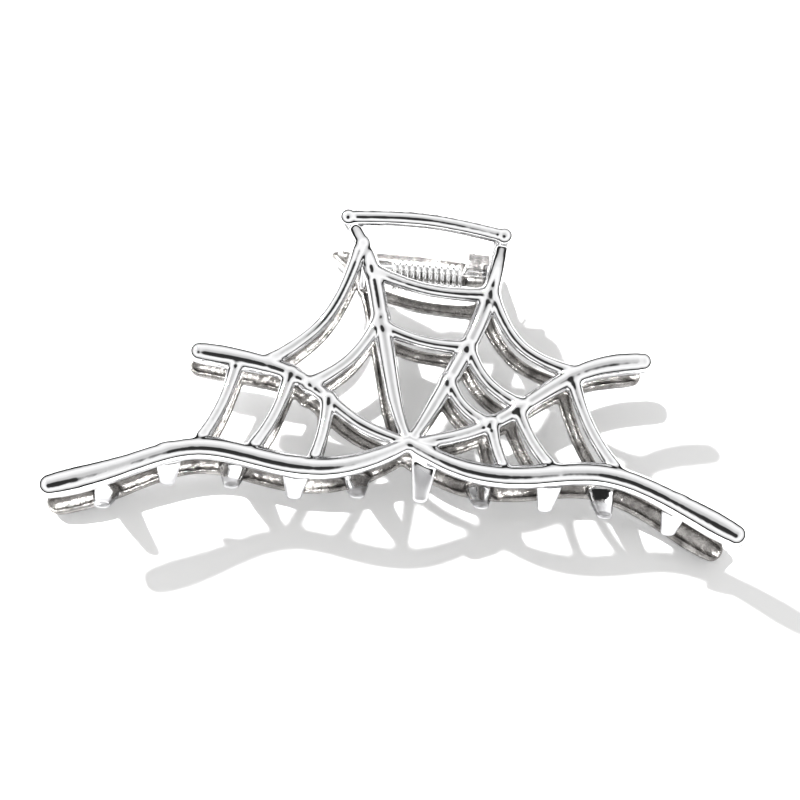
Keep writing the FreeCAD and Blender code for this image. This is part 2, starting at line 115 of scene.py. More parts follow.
THUMB_LEFT = (-13.4, 37.2)
THUMB_RIGHT = (13.6, 36.5)
THUMB_CROWN = (0, 37.7)
RODS = {
    "left_upright": (THUMB_LEFT, (-9.0, 31.2), (-6.6, 23.5), (-4.4, 14.0), (-2.2, 5.4), (0, 0)),
    "right_upright": (THUMB_RIGHT, (13.0, 30.5), (10.4, 21.2), (6.4, 12.2), (2.6, 4.6), (0, 0)),
    "left_spoke": ((-38.6, 13.3), (-28.5, 12.4), (-18.5, 9.6), (-9.0, 3.1), (0, 0)),
    "right_spoke": ((41.6, 18.2), (31.0, 16.0), (20.4, 9.2), (10.3, 2.9), (0, 0)),
    "left_arm": ((-61.0, -12.9), (-48.2, -8.2), (-35.6, -3.7), (-24.0, -4.9), (-13.5, -5.4),
                 (-5.4, -2.9), (0, 0)),
    "right_arm": ((57.9, -12.3), (46.8, -6.9), (33.5, -2.7), (20.0, -4.2), (9.0, -3.6), (0, 0)),
}
WIDTHS = {"upright": 3.1, "spoke": 3.8, "arm": 4.2, "bar": 2.7, "thread": 2.25}
TAPERED = ((0, 1.0), (0.6, 1.0), (0.8, 0.88), (0.92, 0.65), (1, 0.6))
BAR = ((0, 1.0), (1, 1.0))
LEAF = ((0, 0.8), (0.02, 1.0), (0.05, 1.12), (0.1, 1.18), (0.16, 1.1), (0.24, 0.96), (0.34, 0.92),
        (0.48, 0.93), (0.64, 0.95), (0.8, 0.88), (0.9, 0.78), (1, 0.58))
PETAL = ((0, 0.75), (0.025, 0.92), (0.06, 1.05), (0.14, 1.1), (0.26, 1.0), (0.38, 0.82),
         (0.5, 0.72), (0.7, 0.66), (0.85, 0.62), (1, 0.5))
FLARED = ((0, 1.5), (0.12, 1.15), (0.3, 1.0), (0.7, 1.0), (0.88, 1.15), (1, 1.5))
# (first rod, fraction of its length from the free end, second rod, fraction, sag to the hub)
THREADS = (
    ("left_upright", 0.13, "left_spoke", 0.31, 3.2),
    ("left_upright", 0.45, "left_spoke", 0.52, 1.6),
    ("left_spoke", 0.205, "left_arm", 0.415, 0.9),
    ("left_spoke", 0.43, "left_arm", 0.555, 0.9),
    ("left_spoke", 0.62, "left_arm", 0.725, 0.5),
    ("left_upright", 0.255, "right_upright", 0.265, 1.1),
    ("left_upright", 0.49, "right_upright", 0.51, 0.9),
    ("right_upright", 0.25, "right_spoke", 0.295, 3.2),
    ("right_upright", 0.51, "right_spoke", 0.545, 1.5),
    ("right_upright", 0.68, "right_spoke", 0.69, 1.0),
    ("right_spoke", 0.32, "right_arm", 0.375, 1.2),
    ("right_spoke", 0.565, "right_arm", 0.565, 0.8),
    ("right_spoke", 0.68, "right_arm", 0.705, 0.4),
)
STEP = 0.45             # spacing of the points along a rod's middle line


def spline(points, step=STEP):
    """Points every step along a smooth line through the given points, as a natural cubic spline."""
    points = np.array(points, float)
    chord = np.linalg.norm(np.diff(points, axis=0), axis=1)
    knots = np.concatenate([[0], np.cumsum(chord)])
    count = len(points)
    matrix = np.zeros((count, count))
    right = np.zeros_like(points)
    matrix[0, 0] = matrix[-1, -1] = 1.0
    for i in range(1, count - 1):
        before, after = chord[i - 1], chord[i]
        matrix[i, i - 1:i + 2] = before, 2 * (before + after), after
        right[i] = 6 * ((points[i + 1] - points[i]) / after - (points[i] - points[i - 1]) / before)
    bend = np.linalg.solve(matrix, right)
    total = knots[-1]
    where = np.linspace(0, total, max(4, int(total / step) + 1))
    i = np.clip(np.searchsorted(knots, where, side="right") - 1, 0, count - 2)
    h = chord[i][:, None]
    a = (knots[i + 1] - where)[:, None] / h
    b = (where - knots[i])[:, None] / h
    return (a * points[i] + b * points[i + 1]
            + ((a ** 3 - a) * bend[i] + (b ** 3 - b) * bend[i + 1]) * h ** 2 / 6)


def run_of(line):
    """Distance along a line in millimetres at each of its points."""
    return np.concatenate([[0], np.cumsum(np.linalg.norm(np.diff(line, axis=0), axis=1))])


def lengths(line):
    """Distance along a line at each of its points, as a fraction of its length."""
    run = run_of(line)
    return run / run[-1]


def along(line, fraction):
    """The point at a fraction of a line's length."""
    run = lengths(line)
    return np.array([np.interp(fraction, run, line[:, k]) for k in range(3)])


LINES = {name: spline([on_sheet(x, z) for x, z in points]) for name, points in RODS.items()}


def thread_line(first, first_at, second, second_at, sag):
    """A thread's middle line between two rods, sagging towards the hub."""
    start = along(LINES[first], first_at)
    end = along(LINES[second], second_at)
    centre = (start + end) / 2
    to_hub = -centre * (1, 0, 1)
    low = centre + to_hub / np.linalg.norm(to_hub) * sag
    return spline([start, on_sheet(low[0], low[2]), end])


# --- distance field -----------------------------------------------------------------------------

VOXEL = 0.2
FIELD_LOW = np.array([-63.0, -17.0, -16.0])
FIELD_HIGH = np.array([61.0, 5.0, 42.0])
BAND = 1.0              # distances are kept this far from the surface


class Field:
    """Signed distances in millimetres on a regular grid, negative in the metal."""

    def __init__(self):
        self.shape = tuple(np.ceil((FIELD_HIGH - FIELD_LOW) / VOXEL).astype(int) + 1)
        self.far = np.full(self.shape, BAND, np.float32)

    def copy(self):
        twin = Field()
        twin.far = self.far.copy()
        return twin

    def block(self, low, high):
        """The part of the grid between two corners: its slices and its points."""
        first = np.maximum(0, np.floor((low - FIELD_LOW) / VOXEL).astype(int))
        last = np.minimum(self.shape, np.ceil((high - FIELD_LOW) / VOXEL).astype(int) + 1)
        slices = tuple(slice(f, l) for f, l in zip(first, last))
        axes = [FIELD_LOW[k] + VOXEL * np.arange(first[k], last[k]) for k in range(3)]
        grid = np.stack(np.meshgrid(*axes, indexing="ij"), -1)
        return slices, grid.astype(np.float32)

    def join(self, slices, distance, fillet):
        """Union with a fillet."""
        here = self.far[slices]
        mix = np.maximum(fillet - np.abs(here - distance), 0) / fillet
        self.far[slices] = np.minimum(np.minimum(here, distance) - mix * mix * fillet / 4, BAND)

    def carve(self, slices, distance, round_off):
        """Takes a shape away and rounds the edge."""
        here = self.far[slices]
        other = -distance
        mix = np.maximum(round_off - np.abs(here - other), 0) / round_off
        self.far[slices] = np.minimum(np.maximum(here, other) + mix * mix * round_off / 4, BAND)


def nearest_on(line, grid):
    """The nearest point of the line to each grid point, as a running index along the line."""
    best = np.full(grid.shape[:-1], np.inf, np.float32)
    index = np.zeros(grid.shape[:-1], np.float32)
    for i in range(len(line) - 1):
        start = line[i].astype(np.float32)
        run = (line[i + 1] - line[i]).astype(np.float32)
        offset = grid - start
        t = np.clip(offset @ run / (run @ run), 0, 1)
        offset -= t[..., None] * run
        square = np.einsum("...k,...k", offset, offset)
        closer = square < best
        best[closer] = square[closer]
        index[closer] = (i + t)[closer]
    return index


def sample(values, index):
    """Values given at a line's points, read between them."""
    values = np.asarray(values, np.float32)
    i = np.minimum(index.astype(int), len(values) - 2)
    t = index - i
    if values.ndim > 1:
        t = t[..., None]
    return values[i] * (1 - t) + values[i + 1] * t


def rod_frames(line, normals):
    """Directions along and across a line whose outward normals are given."""
    tangent = np.gradient(line, axis=0)
    tangent /= np.linalg.norm(tangent, axis=1, keepdims=True)
    across = np.cross(tangent, normals)
    across /= np.linalg.norm(across, axis=1, keepdims=True)
    return tangent, across, np.cross(across, tangent)


OUTER_RISE = 0.92       # how high the crown stands, as a part of half the width
INNER_DROP = 0.72       # how deep the back is
CHUNK = 10              # points of a line that are worked on at a time
ROD_MARGIN = 4          # room round a rod's middle line in the field
CHUNK_MARGIN = 0.3      # the same round a part of it, beyond the rod and the band
CHANNEL_WIDTH = 0.6     # the channel in a rod's back, as parts of half the width
CHANNEL_DEPTH = 0.62
ROD_FILLET, THREAD_FILLET, CHANNEL_ROUND = 0.3, 0.4, 0.25
KNOB_RADIUS = 1.7
TINY = 1e-4             # keeps divisions clear of zero


def rod_field(field, line, normals, widths, fillet):
    """Adds a rod with a crowned front and a flatter back. Returns the channel for its back."""
    tangent, across, normal = rod_frames(line, normals)
    slices, _ = field.block(line.min(0) - ROD_MARGIN, line.max(0) + ROD_MARGIN)
    shape = tuple(s.stop - s.start for s in slices)
    rod = np.full(shape, BAND * 2, np.float32)
    hollow = np.full(shape, BAND * 2, np.float32)
    for first in range(0, len(line) - 1, CHUNK):
        part = slice(max(0, first - 1), min(len(line), first + CHUNK + 2))
        reach = widths[part].max() / 2 + BAND + CHUNK_MARGIN
        piece, grid = field.block(line[part].min(0) - reach, line[part].max(0) + reach)
        index = nearest_on(line[part], grid)
        offset = grid - sample(line[part], index)
        u = np.einsum("...k,...k", offset, sample(across[part], index))
        v = np.einsum("...k,...k", offset, sample(normal[part], index))
        w = np.einsum("...k,...k", offset, sample(tangent[part], index))
        half = sample(widths[part], index) / 2
        local = tuple(slice(p.start - s.start, p.stop - s.start) for p, s in zip(piece, slices))
        rod[local] = np.minimum(rod[local], section_distance(u, v, w, half))
        hollow[local] = np.minimum(hollow[local], channel_distance(u, v, w, half))
    field.join(slices, rod, fillet)
    return slices, hollow


def section_distance(u, v, w, half):
    """Distance to a rod of half width half: an oval crown in front, a squarer back."""
    front = np.sqrt((u / half) ** 2 + (v / (half * OUTER_RISE)) ** 2)
    back = ((np.abs(u) / half) ** 4 + (np.abs(v) / (half * INNER_DROP)) ** 4) ** 0.25
    gauge = np.where(v > 0, front, back)
    gauge = np.sqrt(gauge ** 2 + (w / half) ** 2)
    reach = np.sqrt(u ** 2 + v ** 2 + w ** 2)
    return reach - reach / np.maximum(gauge, TINY)


def channel_distance(u, v, w, half):
    """Distance to the channel in the back of a rod."""
    deep = v + half * INNER_DROP
    reach = np.sqrt(u ** 2 + deep ** 2 + w ** 2)
    gauge = np.sqrt((u / (half * CHANNEL_WIDTH)) ** 2 + (deep / (half * CHANNEL_DEPTH)) ** 2
                    + (w / half) ** 2)
    return reach - reach / np.maximum(gauge, TINY)


def widths_along(line, width, profile):
    """The width at each point of a line, from its full width and a profile of fractions."""
    fraction, fullness = zip(*profile)
    return width * np.interp(lengths(line), fraction, fullness)


def web_field():
    """The rods, threads, hub and thumb bar of the front jaw."""
    field = Field()
    channels = []
    bar = spline([on_sheet(*THUMB_LEFT), on_sheet(*THUMB_CROWN), on_sheet(*THUMB_RIGHT)])
    jobs = [(bar, widths_along(bar, WIDTHS["bar"], BAR), ROD_FILLET)]
    profiles = {"upright": TAPERED, "spoke": PETAL, "arm": LEAF}
    for name, line in LINES.items():
        kind = name.split("_")[1]
        widths = widths_along(line, WIDTHS[kind], profiles[kind])
        if kind != "upright":
            blunt = run_of(line) >= widths[0] / 2
            line, widths = line[blunt], widths[blunt]
        jobs.append((line, widths, ROD_FILLET))
    for row in THREADS:
        line = thread_line(*row)
        jobs.append((line, widths_along(line, WIDTHS["thread"], FLARED), THREAD_FILLET))
    for line, widths, fillet in jobs:
        channels.append(rod_field(field, line, outward(line[:, 2]), widths, fillet))
    for corner in (THUMB_LEFT, THUMB_RIGHT):
        ball(field, on_sheet(*corner), KNOB_RADIUS)
    return field, channels


def ball(field, centre, radius):
    """A round knob."""
    reach = radius + BAND
    slices, grid = field.block(centre - reach, centre + reach)
    offset = grid - centre.astype(np.float32)
    distance = np.sqrt(np.einsum("...k,...k", offset, offset)) - radius
    field.join(slices, distance, ROD_FILLET)


def mesh_from(field, name, flip):
    """A mesh of the field's surface in the row frame. Flip mirrors it into the back jaw."""
    grid = openvdb.FloatGrid(BAND)
    grid.copyFromArray(field.far, tolerance=TINY)
    grid.transform = openvdb.createLinearTransform(voxelSize=VOXEL)
    points, quads = grid.convertToQuads(isovalue=0.0)
    points = points + FIELD_LOW
    if flip:
        points[:, 1] *= -1
        quads = quads[:, ::-1]
    return upright_mesh(name, points, quads.tolist())


# --- teeth, ears and tab ------------------------------------------------------------------------

TOOTH_PITCH, TOOTH_WIDTH, TOOTH_THICKNESS = 21.7, 4.0, 1.9
TOOTH_DROP, TOOTH_GAP, CROTCH_DEPTH = 5.0, 1.4, 4.2
TOOTH_SHAPE = ((0, 1.2), (0.35, 1.06), (0.6, 0.94), (0.85, 0.8), (1, 0.72))
FIRST_TOOTH = -40.4
PIN_HEIGHT, EAR_RADIUS, EAR_ROOT, EAR_INSET = 31.4, 3.0, 1.2, 1.0
EAR_THICKNESS, EAR_STEP = 1.3, 1.4
LEFT_EAR_X, RIGHT_EAR_X = -10.2, 11.6
BORE_RADIUS = 1.0
TEETH_PER_JAW = 5
TOOTH_ROOT = (0, 1.0, -0.3)         # from the arm's middle line
TOOTH_BULGE = (0, -0.15, -0.15)     # half-way down, from the straight line
TIP_LIFT, TIP_INSET = 1.3, 0.2      # the rounding past the middle line's end
TOOTH_STEP, TOOTH_MARGIN, TOOTH_ROUND, TOOTH_FILLET = 0.3, 3.2, 2.3, 1.0
LINK_MARGIN, EAR_EDGE, EAR_FILLET, BORE_ROUND = 1.2, 0.25, 0.5, 0.15
TAB_WIDTH, TAB_HALF, TAB_LOW, TAB_HIGH = 3.1, 0.65, 1.9, 5.0
TAB_INSET, TAB_EDGE, TAB_FILLET = 0.3, 0.3, 0.4


def arm_point(x):
    """The point of the arm's middle line at x."""
    line = LINES["left_arm"] if x < 0 else LINES["right_arm"]
    order = np.argsort(line[:, 0])
    return np.array([np.interp(x, line[order, 0], line[order, k]) for k in range(3)])


def add_tooth(field, x):
    """A tapered tongue that leans from the arm towards the other jaw."""
    middle_of_arm = arm_point(x)
    bottom = min(middle_of_arm[2], -CROTCH_DEPTH) - TOOTH_DROP
    root = middle_of_arm + TOOTH_ROOT
    tip = np.array([x, -TOOTH_GAP - TIP_INSET, bottom + TIP_LIFT])
    halfway = root * 0.5 + tip * 0.5 + TOOTH_BULGE
    line = spline([root, halfway, tip], TOOTH_STEP)
    tangent = np.gradient(line, axis=0)
    tangent /= np.linalg.norm(tangent, axis=1, keepdims=True)
    across = np.tile((1.0, 0.0, 0.0), (len(line), 1))
    normal = np.cross(tangent, across)
    fraction, fullness = zip(*TOOTH_SHAPE)
    half = TOOTH_WIDTH / 2 * np.interp(lengths(line), fraction, fullness)
    slices, grid = field.block(line.min(0) - TOOTH_MARGIN, line.max(0) + TOOTH_MARGIN)
    index = nearest_on(line, grid)
    offset = grid - sample(line, index)
    u = np.einsum("...k,...k", offset, sample(across, index))
    v = np.einsum("...k,...k", offset, sample(normal, index))
    w = np.einsum("...k,...k", offset, sample(tangent, index))
    half = sample(half, index)
    flat = half * TOOTH_THICKNESS / TOOTH_WIDTH
    parts = (np.abs(u / half), np.abs(v / flat), np.abs(w / half))
    gauge = sum(part ** TOOTH_ROUND for part in parts) ** (1 / TOOTH_ROUND)
    reach = np.sqrt(u ** 2 + v ** 2 + w ** 2)
    distance = reach - reach / np.maximum(gauge, TINY)
    field.join(slices, distance, TOOTH_FILLET)


def add_ear(field, x):
    """A link from the upright to the pin, square to the pin, with its bore."""
    reach = bow(np.float64(PIN_HEIGHT)) - EAR_INSET
    low = np.array([x, -reach - EAR_ROOT, PIN_HEIGHT - EAR_RADIUS]) - LINK_MARGIN
    high = np.array([x + EAR_THICKNESS, EAR_RADIUS, PIN_HEIGHT + EAR_RADIUS]) + LINK_MARGIN
    slices, grid = field.block(low, high)
    along_link = -grid[..., 1]
    beside = np.abs(grid[..., 2] - PIN_HEIGHT)
    slope = (EAR_RADIUS - EAR_ROOT) / reach
    rise = math.sqrt(1 - slope ** 2)
    side = beside * slope * -1 + along_link * rise
    round_eye = np.sqrt(along_link ** 2 + beside ** 2) - EAR_RADIUS
    round_root = np.sqrt((along_link - reach) ** 2 + beside ** 2) - EAR_ROOT
    flank = beside * rise + along_link * slope - EAR_RADIUS
    plan = np.where(side < 0, round_eye, np.where(side > reach * rise, round_root, flank))
    thick = np.abs(grid[..., 0] - x - EAR_THICKNESS / 2) - EAR_THICKNESS / 2
    outside = np.sqrt(np.maximum(plan + EAR_EDGE, 0) ** 2 + np.maximum(thick + EAR_EDGE, 0) ** 2)
    distance = outside + np.minimum(np.maximum(plan, thick) + EAR_EDGE, 0) - EAR_EDGE
    field.join(slices, distance, EAR_FILLET)
    bore = np.sqrt(along_link ** 2 + beside ** 2) - BORE_RADIUS
    field.carve(slices, bore, BORE_ROUND)


def add_tab(field):
    """The block on the right ear that the spring's leg presses on.

    It ends TAB_INSET short of the CAD's tab, so that its fillet stays off the back jaw's ear.
    """
    low = np.array([RIGHT_EAR_X - TAB_WIDTH, -TAB_HALF, PIN_HEIGHT + TAB_LOW])
    high = np.array([RIGHT_EAR_X + EAR_THICKNESS - TAB_INSET, TAB_HALF, PIN_HEIGHT + TAB_HIGH])
    slices, grid = field.block(low - LINK_MARGIN, high + LINK_MARGIN)
    beyond = np.abs(grid - (low + high) / 2) - (high - low) / 2 + TAB_EDGE
    outside = np.sqrt((np.maximum(beyond, 0) ** 2).sum(-1))
    distance = outside + np.minimum(beyond.max(-1), 0) - TAB_EDGE
    field.join(slices, distance, TAB_FILLET)


# --- materials ----------------------------------------------------------------------------------

def new_material(name):
    material = bpy.data.materials.new(name)
    material.use_nodes = True
    tree = material.node_tree
    shader = next(node for node in tree.nodes if node.type == "BSDF_PRINCIPLED")
    return material, tree, shader


def noise(tree, scale, detail, roughness):
    node = tree.nodes.new("ShaderNodeTexNoise")
    node.inputs["Scale"].default_value = scale
    node.inputs["Detail"].default_value = detail
    node.inputs["Roughness"].default_value = roughness
    place = tree.nodes.new("ShaderNodeTexCoord")
    tree.links.new(place.outputs["Object"], node.inputs["Vector"])
    return node.outputs["Fac"]


def spread(tree, source, low, high, start=0.3, stop=0.7):
    node = tree.nodes.new("ShaderNodeMapRange")
    node.inputs["From Min"].default_value = start
    node.inputs["From Max"].default_value = stop
    node.inputs["To Min"].default_value = low
    node.inputs["To Max"].default_value = high
    tree.links.new(source, node.inputs["Value"])
    return node.outputs["Result"]


def attribute(tree, name):
    node = tree.nodes.new("ShaderNodeAttribute")
    node.attribute_name = name
    return node.outputs["Fac"]


def mix_numbers(tree, factor, first, second):
    node = tree.nodes.new("ShaderNodeMix")
    node.data_type = "FLOAT"
    tree.links.new(factor, node.inputs[0])
    tree.links.new(first, node.inputs[2])
    tree.links.new(second, node.inputs[3])
    return node.outputs[0]


def mix_colours(tree, factor, first, second):
    """Mixes two colours, each given as a tuple or as another node's output."""
    node = tree.nodes.new("ShaderNodeMix")
    node.data_type = "RGBA"
    for slot, colour in ((6, first), (7, second)):
        if isinstance(colour, tuple):
            node.inputs[slot].default_value = (*colour, 1)
        else:
            tree.links.new(colour, node.inputs[slot])
    tree.links.new(factor, node.inputs[0])
    return node.outputs[2]


def bump(tree, height, distance):
    """A bump of the given depth in metres."""
    node = tree.nodes.new("ShaderNodeBump")
    node.inputs["Strength"].default_value = 1.0
    node.inputs["Distance"].default_value = distance
    tree.links.new(height, node.inputs["Height"])
    return node.outputs["Normal"]


def casting_plating():
    """Bright plating on a polished front, over the rougher skin of the mould on the inside, where
    the colour is also darkened as painted shade between the jaws.
    """
    material, tree, shader = new_material("plated_casting")
    inside = attribute(tree, "inside")
    tooth = attribute(tree, "tooth")
    grain = noise(tree, 1100.0, 5.0, 0.65)
    patches = noise(tree, 330.0, 3.0, 0.55)
    cloud = noise(tree, 120.0, 3.0, 0.5)
    shader.inputs["Metallic"].default_value = 1.0
    shader.inputs["Specular Tint"].default_value = (0.35, 0.35, 0.36, 1)
    polished = spread(tree, cloud, 0.03, 0.07)
    satin = spread(tree, patches, 0.14, 0.34)
    brushed = spread(tree, cloud, 0.27, 0.37)
    web_finish = mix_numbers(tree, inside, polished, satin)
    finish = mix_numbers(tree, tooth, web_finish, brushed)
    tree.links.new(finish, shader.inputs["Roughness"])
    mottle = spread(tree, patches, 0.0, 1.0)
    # Mottled tone of the cast skin, darkened overall as painted shade on the sides that face the
    # other jaw.
    dull_skin_and_shade = mix_colours(tree, mottle, (0.15, 0.142, 0.136), (0.48, 0.465, 0.45))
    web_colour = mix_colours(tree, inside, (0.68, 0.68, 0.685), dull_skin_and_shade)
    colour = mix_colours(tree, tooth, web_colour, (0.53, 0.53, 0.54))
    tree.links.new(colour, shader.inputs["Base Color"])
    ripple = spread(tree, cloud, 0.0, 0.6)
    skin = spread(tree, grain, 0.0, 1.0)
    height = mix_numbers(tree, inside, ripple, skin)
    tree.links.new(bump(tree, height, 0.00012), shader.inputs["Normal"])
    return material


def turned_steel():
    """Plain steel with fine rings round the pin."""
    material, tree, shader = new_material("steel_pin")
    rings = tree.nodes.new("ShaderNodeTexNoise")
    rings.inputs["Scale"].default_value = 1.0
    place = tree.nodes.new("ShaderNodeTexCoord")
    stretch = tree.nodes.new("ShaderNodeMapping")
    stretch.inputs["Scale"].default_value = (4000.0, 150.0, 150.0)
    tree.links.new(place.outputs["Object"], stretch.inputs["Vector"])
    tree.links.new(stretch.outputs["Vector"], rings.inputs["Vector"])
    shader.inputs["Metallic"].default_value = 1.0
    shader.inputs["Base Color"].default_value = (0.42, 0.41, 0.40, 1)
    tree.links.new(spread(tree, rings.outputs["Fac"], 0.2, 0.36), shader.inputs["Roughness"])
    tree.links.new(bump(tree, rings.outputs["Fac"], 0.00001), shader.inputs["Normal"])
    return material


def drawn_wire():
    """Bright spring wire with faint marks from drawing."""
    material, tree, shader = new_material("spring_wire")
    marks = noise(tree, 1200.0, 3.0, 0.6)
    shader.inputs["Metallic"].default_value = 1.0
    shader.inputs["Base Color"].default_value = (0.88, 0.88, 0.88, 1)
    tree.links.new(spread(tree, marks, 0.1, 0.2), shader.inputs["Roughness"])
    tree.links.new(bump(tree, marks, 0.000006), shader.inputs["Normal"])
    return material


# --- pieces -------------------------------------------------------------------------------------

def paint(piece, material):
    piece.data.materials.clear()
    piece.data.materials.append(material)


def arm_profile(name):
    """The x and z values along an arm's middle line, in order of x."""
    line = LINES[name]
    order = np.argsort(line[:, 0])
    return line[order, 0], line[order, 2]


INSIDE_FACING, INSIDE_BLEND = 0.1, 0.5      # how far a face turns from the front to be inside
WEB_DEPTH, WEB_BLEND = 2.2, 0.6             # how far behind the sheet the web's rough skin and painted shade go
BELOW_ARM, BESIDE_TOOTH, TOOTH_BLEND = 2.5, 3.4, 0.5
# The tab takes this share of the inside's rough skin and painted shade.
TAB_SKIN_AND_SHADE, TAB_INSIDE_HALF, TAB_INSIDE_LOW = 0.7, 1.0, 2.1


def mark_skin_shade_and_teeth(piece, flip, teeth_shift):
    """Stores for each vertex how far it is on the inside of the jaw, and how far on a tooth. The
    inside gets the rougher skin and a darker colour that is painted shade.
    """
    mesh = piece.data
    count = len(mesh.vertices)
    normals = np.zeros(count * 3, np.float32)
    mesh.vertex_normals.foreach_get("vector", normals)
    points = np.zeros(count * 3, np.float32)
    mesh.vertices.foreach_get("co", points)
    turn = np.array(UPRIGHT_TO_ROW.inverted())
    normals = normals.reshape(-1, 3) @ (turn[:3, :3].T * MM)
    points = points.reshape(-1, 3) @ turn[:3, :3].T + turn[:3, 3]
    if flip:
        normals[:, 1] *= -1
        points[:, 1] *= -1
    facing = np.einsum("nk,nk->n", normals, outward(points[:, 2]))
    away = np.clip((INSIDE_FACING - facing) / INSIDE_BLEND, 0, 1)
    inwards = points[:, 1] + bow(points[:, 2])
    web = np.clip((WEB_DEPTH - inwards) / WEB_BLEND, 0, 1)
    left = np.interp(points[:, 0], *arm_profile("left_arm"))
    right = np.interp(points[:, 0], *arm_profile("right_arm"))
    arm_height = np.where(points[:, 0] < 0, left, right)
    first = FIRST_TOOTH + teeth_shift - TOOTH_PITCH / 2
    beside = np.abs(np.mod(points[:, 0] - first, TOOTH_PITCH) - TOOTH_PITCH / 2)
    below = np.clip((arm_height - points[:, 2] - BELOW_ARM) / TOOTH_BLEND, 0, 1)
    tooth = below * np.clip((BESIDE_TOOTH - beside) / TOOTH_BLEND, 0, 1)
    # inside: the rough cast skin plus painted shade on faces turned towards the other jaw.
    inside = away * away * (3 - 2 * away) * web * (1 - tooth)
    # The tab is given part of the inside's rough skin and painted shade.
    on_tab = (np.abs(points[:, 1]) < TAB_INSIDE_HALF) & (points[:, 2] > PIN_HEIGHT + TAB_INSIDE_LOW)
    inside[on_tab] = TAB_SKIN_AND_SHADE
    for layer_name, values in (("inside", inside), ("tooth", tooth)):
        layer = mesh.attributes.new(layer_name, "FLOAT", "POINT")
        layer.data.foreach_set("value", values.astype(np.float32))


def jaw_nodes(jaw):
    return [name for name in frame["nodes"] if name.startswith(f"{jaw}_")]


def make_jaw(jaw, web, channels, teeth_shift, ears, tab, flip):
    """One casting: the web with its channels, teeth, ears at the given x, and perhaps a tab."""
    field = web.copy()
    for slices, hollow in channels:
        field.carve(slices, hollow, CHANNEL_ROUND)
    for number in range(TEETH_PER_JAW):
        add_tooth(field, FIRST_TOOTH + teeth_shift + number * TOOTH_PITCH)
    for x in ears:
        add_ear(field, x)
    if tab:
        add_tab(field)
    piece = mesh_from(field, f"{jaw}_casting", flip)
    mark_skin_shade_and_teeth(piece, flip, teeth_shift)
    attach(piece, f"{jaw}_jaw")
    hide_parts(*jaw_nodes(jaw))
    return piece


def tube_faces(rings, segments):
    """The faces that join rings of points into a tube with closed ends."""
    faces = []
    for k in range(rings - 1):
        here, following = k * segments, (k + 1) * segments
        for i in range(segments):
            j = (i + 1) % segments
            faces.append((here + i, here + j, following + j, following + i))
    faces.append(tuple(reversed(range(segments))))
    faces.append(tuple((rings - 1) * segments + i for i in range(segments)))
    return faces


def round_bar(name, profile, segments=48):
    """A turned bar along X round the pin's axis: profile is (x, radius) from end to end."""
    ring = np.arange(segments) * 2 * math.pi / segments
    points = []
    for x, radius in profile:
        for angle in ring:
            points.append((x, PIN[1] + radius * math.cos(angle), PIN[2] + radius * math.sin(angle)))
    return upright_mesh(name, points, tube_faces(len(profile), segments))


def upright_mesh(name, points, faces):
    """An object from upright points and faces, placed in the row frame."""
    matrix = np.array(UPRIGHT_TO_ROW)
    placed = np.array(points) @ matrix[:3, :3].T + matrix[:3, 3]
    mesh = bpy.data.meshes.new(name)
    mesh.from_pydata(placed.tolist(), [], faces)
    mesh.validate()
    mesh.shade_smooth()
    piece = bpy.data.objects.new(name, mesh)
    bpy.context.scene.collection.objects.link(piece)
    return piece


def outward_faces(piece):
    """Turns every face outwards."""
    work = bmesh.new()
    work.from_mesh(piece.data)
    bmesh.ops.recalc_face_normals(work, faces=work.faces)
    work.to_mesh(piece.data)
    work.free()
    piece.data.shade_smooth()


PIN_RADIUS, HEAD_RADIUS, HEAD_LENGTH, HEAD_FLAT, HEAD_SWELL = 0.99, 1.6, 0.7, 0.15, 1.43
HEAD_PLAY, HEAD_STEPS = 0.1, 8


def make_pin():
    """The hinge pin, with a dome riveted over at each end."""
    left = LEFT_EAR_X - HEAD_PLAY
    right = RIGHT_EAR_X + EAR_STEP + EAR_THICKNESS + HEAD_PLAY
    dome = []
    for k in range(HEAD_STEPS + 1):
        angle = math.pi / 2 * k / HEAD_STEPS
        dome.append((HEAD_LENGTH * math.cos(angle), HEAD_FLAT + HEAD_SWELL * math.sin(angle)))
    profile = [(left - x, radius) for x, radius in dome]
    profile += [(left, HEAD_RADIUS), (left, PIN_RADIUS), (right, PIN_RADIUS), (right, HEAD_RADIUS)]
    profile += [(right + x, radius) for x, radius in reversed(dome)]
    piece = round_bar("rivet_pin", profile)
    outward_faces(piece)
    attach(piece, "back_jaw")
    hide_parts("hinge_pin")
    return piece


COIL_RADIUS, COIL_PITCH, COIL_TURNS, COIL_START = 2.3, 1.05, 11.75, -4.5
WIRE_RADIUS = 0.43          # the CAD's wire is 0.5; it is thinner here to show the gaps
TAIL_PLAY, TAIL_STOP, TAIL_POINTS = 0.05, 0.6, 8
LEG_END = (9.9, 1.2, 6.0)   # from the middle of the pin
LEG_START, LEG_POINTS, TURN_POINTS = 0.15, 14, 36
SMOOTHINGS, SHARP_BEND, WIRE_SEGMENTS = 3, 0.12, 14


def spring_path():
    """The wire's middle line: tail, coil and leg, with rounded bends."""
    pin = np.array(PIN)
    tail_end = LEFT_EAR_X + EAR_STEP + EAR_THICKNESS + TAIL_PLAY
    tail = np.linspace(tail_end, COIL_START - TAIL_STOP, TAIL_POINTS)
    points = [pin + (x, 0, COIL_RADIUS) for x in tail]
    turns = np.linspace(0, COIL_TURNS, int(COIL_TURNS * TURN_POINTS))
    for turn in turns:
        angle = 2 * math.pi * turn
        points.append(pin + (COIL_START + COIL_PITCH * turn,
                             -COIL_RADIUS * math.sin(angle), COIL_RADIUS * math.cos(angle)))
    leg_end = pin + LEG_END
    last = points[-1]
    for fraction in np.linspace(LEG_START, 1, LEG_POINTS):
        points.append(last + (leg_end - last) * fraction)
    points = np.array(points)
    for _ in range(SMOOTHINGS):
        smooth = (points[:-2] + 2 * points[1:-1] + points[2:]) / 4
        bend = np.linalg.norm(np.diff(points, 2, axis=0), axis=1)
        sharp = bend > SHARP_BEND
        points[1:-1][sharp] = smooth[sharp]
    return points


